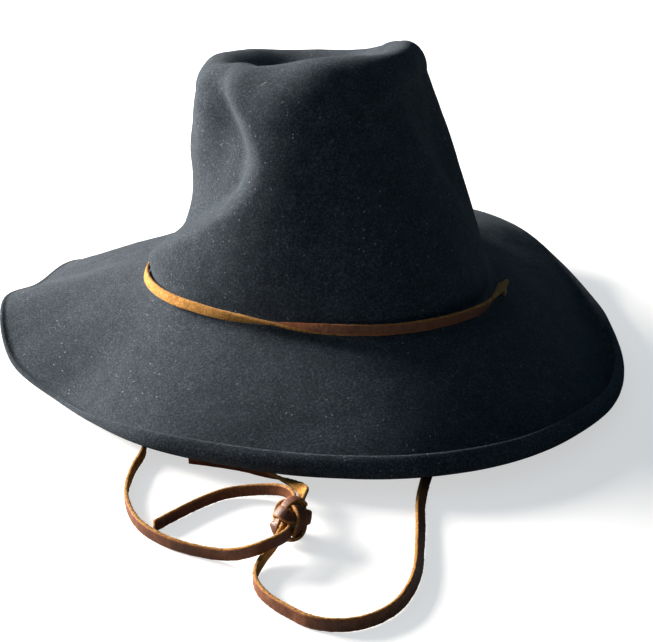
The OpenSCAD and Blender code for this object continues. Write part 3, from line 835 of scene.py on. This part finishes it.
def tube(lines, r, sides, name, mat, closed=False, taper=False):
    V, F, lay = [], [], []
    for line in lines:
        n = len(line)
        tg = unit(np.roll(line, -1, 0) - np.roll(line, 1, 0)) if closed else tangents(line)
        up = np.tile([0.0, 0.0, 1.0], (n, 1))
        x = unit(np.cross(tg, up))
        y = np.cross(x, tg)
        o = len(V)
        s = np.concatenate([[0], np.cumsum(np.linalg.norm(np.diff(line, axis=0), axis=1))])
        for i in range(n):
            rr = r * (0.55 if taper and i in (0, n - 1) else 1.0)
            for q in range(sides):
                c = 2 * math.pi * q / sides
                V.append(line[i] + rr * (math.cos(c) * x[i] + math.sin(c) * y[i]))
                lay.append((s[i], rr * c, 0))
        for i in range(n if closed else n - 1):
            i2 = (i + 1) % n
            for q in range(sides):
                q2 = (q + 1) % sides
                F.append((o + i * sides + q, o + i * sides + q2, o + i2 * sides + q2, o + i2 * sides + q))
        if not closed:
            F.append(tuple(o + q for q in range(sides)))
            F.append(tuple(o + (n - 1) * sides + q for q in range(sides))[::-1])
    ob = new_mesh(name, V, F, [mat], None, True, lay)
    fix_normals(ob)
    return ob


def small_parts():
    a = np.arange(288) * 1.25
    p = brim_pt(a, -2.1, -3.7)
    reed = tube([p], 1.0, 12, "reed", REED, closed=True)
    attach(reed, "hat")
    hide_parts("sweatband_reed")
    lines = []
    q0, n0 = (inner[2] + inner[3]) / 2, inner_n[3]
    m = q0.shape[0]
    for s in range(60):
        u0 = (s + 0.5) / 60 * m
        pts = []
        for d, dep in ((-1.35, 0.55), (-1.2, -0.05), (-0.6, -0.2), (0, -0.24), (0.6, -0.2), (1.2, -0.05), (1.35, 0.55)):
            u = u0 + d * m / 60 * 0.26
            i = int(math.floor(u)) % m
            f = u - math.floor(u)
            k = (i + 1) % m
            pts.append(q0[i] * (1 - f) + q0[k] * f + n0[i] * dep)
        lines.append(np.array(pts))
    st_ob = tube(lines, 0.3, 8, "stitches", THREAD, taper=True)
    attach(st_ob, "hat")
    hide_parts("sweatband_stitching")


small_parts()


def bow():
    lo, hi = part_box("sweatband_bow")
    c = (np.array(lo) + np.array(hi)) / 2 / MM
    y0 = np.array(hi)[1] / MM
    z0 = c[2] + 2.0
    x0 = c[0]
    V, F, lay = [], [], []

    def ribbon(pts, wid, nz, t=0.45):
        line, idx, s = spline(pts, 0.6)
        w = np.interp(idx, np.arange(len(wid)), wid)
        tg = tangents(line)
        nn = unit(np.cross(tg, nz))
        uu = unit(np.cross(nn, tg))
        o = len(V)
        for i in range(len(line)):
            for x, y in ((1, 1), (0.5, 1.2), (0, 1.3), (-0.5, 1.2), (-1, 1), (-1, -1), (0, -1), (1, -1)):
                V.append(line[i] + uu[i] * x * w[i] / 2 + nn[i] * y * t / 2)
                lay.append((s[i], x * w[i] / 2, 0))
        for i in range(len(line) - 1):
            for k in range(8):
                k2 = (k + 1) % 8
                F.append((o + i * 8 + k, o + i * 8 + k2, o + i * 8 + 8 + k2, o + i * 8 + 8 + k))
        F.append(tuple(o + k for k in range(8)))
        F.append(tuple(o + (len(line) - 1) * 8 + k for k in range(7, -1, -1)))
    up = np.array([0, 0, 1.0])
    for sx in (-1, 1):
        ribbon([[x0 + sx * 0.4, y0 - 0.7, z0], [x0 + sx * 4, y0 - 0.55, z0 + 0.3], [x0 + sx * 8, y0 - 0.6, z0 + 0.6], [x0 + sx * 10.6, y0 - 1.1, z0 + 0.8],
                [x0 + sx * 11.0, y0 - 1.8, z0 + 0.8], [x0 + sx * 8.4, y0 - 2.5, z0 + 0.5], [x0 + sx * 4, y0 - 2.3, z0 + 0.2], [x0 + sx * 0.4, y0 - 1.7, z0]],
               [2.4, 4.2, 5.8, 6.2, 6.2, 5.8, 4.2, 2.4], up, 0.4)
        ribbon([[x0 + sx * 0.5, y0 - 0.9, z0 - 0.5], [x0 + sx * 2.0, y0 - 0.8, z0 - 3.5], [x0 + sx * 3.6, y0 - 0.7, z0 - 7], [x0 + sx * 4.9, y0 - 0.8, z0 - 10]],
               [2.2, 3.4, 4.2, 4.6], np.array([1.0, 0, 0]), 0.4)
    ribbon([[x0, y0 - 0.2, z0 - 1.9], [x0, y0 - 2.4, z0 - 1.6], [x0, y0 - 2.9, z0], [x0, y0 - 2.4, z0 + 1.6], [x0, y0 - 0.2, z0 + 1.9]],
           [3.6, 3.8, 3.6, 3.8, 3.6], np.array([1.0, 0, 0]), 0.6)
    ob = new_mesh("ribbon_bow", V, F, [RIBBON], None, True, lay)
    fix_normals(ob)
    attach(ob, "hat")
    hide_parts("sweatband_bow")


bow()


# ------------------------------------------------------------------ floor and light
def stage():
    me = bpy.data.meshes.new("floor")
    s = 6.0
    me.from_pydata([(-s, -s, 0), (s, -s, 0), (s, s, 0), (-s, s, 0)], [], [(0, 1, 2, 3)])
    ob = bpy.data.objects.new("floor", me)
    scene.collection.objects.link(ob)
    g = Nodes("pale_floor")
    n = g.noise(3.0, 3, 0.5)
    col = g.ramp(n, [(0.3, (0.530, 0.520, 0.512)), (0.7, (0.570, 0.560, 0.552))])
    path = g.add("ShaderNodeLightPath").outputs["Is Camera Ray"]
    matt = g.add("ShaderNodeBsdfDiffuse", {"Color": col})
    place = g.add("ShaderNodeSeparateXYZ", {"Vector": g.co}).outputs
    # painted shadow: the floor's glow is made darker towards the front right, where the hat's shadow falls
    near = g.math("SUBTRACT", 0.3, g.math("MULTIPLY", place["Y"], 4.0), True)
    painted_shadow_ramp = g.ramp(g.math("MULTIPLY", g.math("MULTIPLY", place["X"], 3.2), near), [(0.1, (0.60, 0.60, 0.60)), (1.0, (0.42, 0.42, 0.43))])
    # painted light: the floor glows for camera rays only, to look white; rays that light the hat see the dimmer plain
    # diffuse instead
    painted_glow = g.add("ShaderNodeEmission", {"Color": painted_shadow_ramp, "Strength": 1.0})
    seen = g.add("ShaderNodeAddShader", {0: matt.outputs[0], 1: painted_glow.outputs[0]})
    dim = g.add("ShaderNodeBsdfDiffuse", {"Color": (0.40, 0.40, 0.41, 1)})
    both = g.add("ShaderNodeMixShader", {0: path, 1: dim.outputs[0], 2: seen.outputs[0]})
    clear = g.add("ShaderNodeBsdfTransparent")
    geo = g.add("ShaderNodeNewGeometry")
    mx = g.add("ShaderNodeMixShader", {0: geo.outputs["Backfacing"], 1: both.outputs[0], 2: clear.outputs[0]})
    g.tree.links.new(mx.outputs[0], g.out.inputs["Surface"])
    me.materials.append(g.mat)
    w = bpy.data.worlds.new("studio")
    scene.world = w
    w.use_nodes = True
    t = w.node_tree
    t.nodes.clear()
    out = t.nodes.new("ShaderNodeOutputWorld")
    co = t.nodes.new("ShaderNodeTexCoord")
    sep = t.nodes.new("ShaderNodeSeparateXYZ")
    t.links.new(co.outputs["Generated"], sep.inputs[0])
    ramp = t.nodes.new("ShaderNodeValToRGB")
    half = t.nodes.new("ShaderNodeMath")
    half.operation = "MULTIPLY_ADD"
    half.inputs[1].default_value = 0.5
    half.inputs[2].default_value = 0.5
    t.links.new(sep.outputs["X"], half.inputs[0])
    t.links.new(half.outputs[0], ramp.inputs[0])
    e = ramp.color_ramp.elements
    e[0].position, e[0].color = 0.05, (0.34, 0.42, 0.48, 1)
    e[1].position, e[1].color = 0.95, (0.022, 0.052, 0.078, 1)
    e.new(0.5).color = (0.076, 0.132, 0.172, 1)
    light = t.nodes.new("ShaderNodeBackground")
    t.links.new(ramp.outputs[0], light.inputs[0])
    white = t.nodes.new("ShaderNodeBackground")
    white.inputs[0].default_value = (1, 1, 1, 1)
    lp = t.nodes.new("ShaderNodeLightPath")
    mixw = t.nodes.new("ShaderNodeMixShader")
    t.links.new(lp.outputs["Is Camera Ray"], mixw.inputs[0])
    t.links.new(light.outputs[0], mixw.inputs[1])
    t.links.new(white.outputs[0], mixw.inputs[2])
    t.links.new(mixw.outputs[0], out.inputs[0])

    def area(name, at, look, size, power, color=(1, 1, 1)):
        d = bpy.data.lights.new(name, "AREA")
        d.shape = "RECTANGLE"
        d.size, d.size_y = size
        d.energy = power
        d.color = color
        o = bpy.data.objects.new(name, d)
        scene.collection.objects.link(o)
        o.location = at
        o.rotation_euler = (Vector(look) - Vector(at)).to_track_quat("-Z", "Y").to_euler()
    area("key", (-1.38, 0.68, 0.54), (0, 0, 0.07), (0.9, 0.6), 158.0, (1.0, 0.95, 0.88))
    scene.view_settings.view_transform = "Standard"
    scene.view_settings.look = "None"


stage()
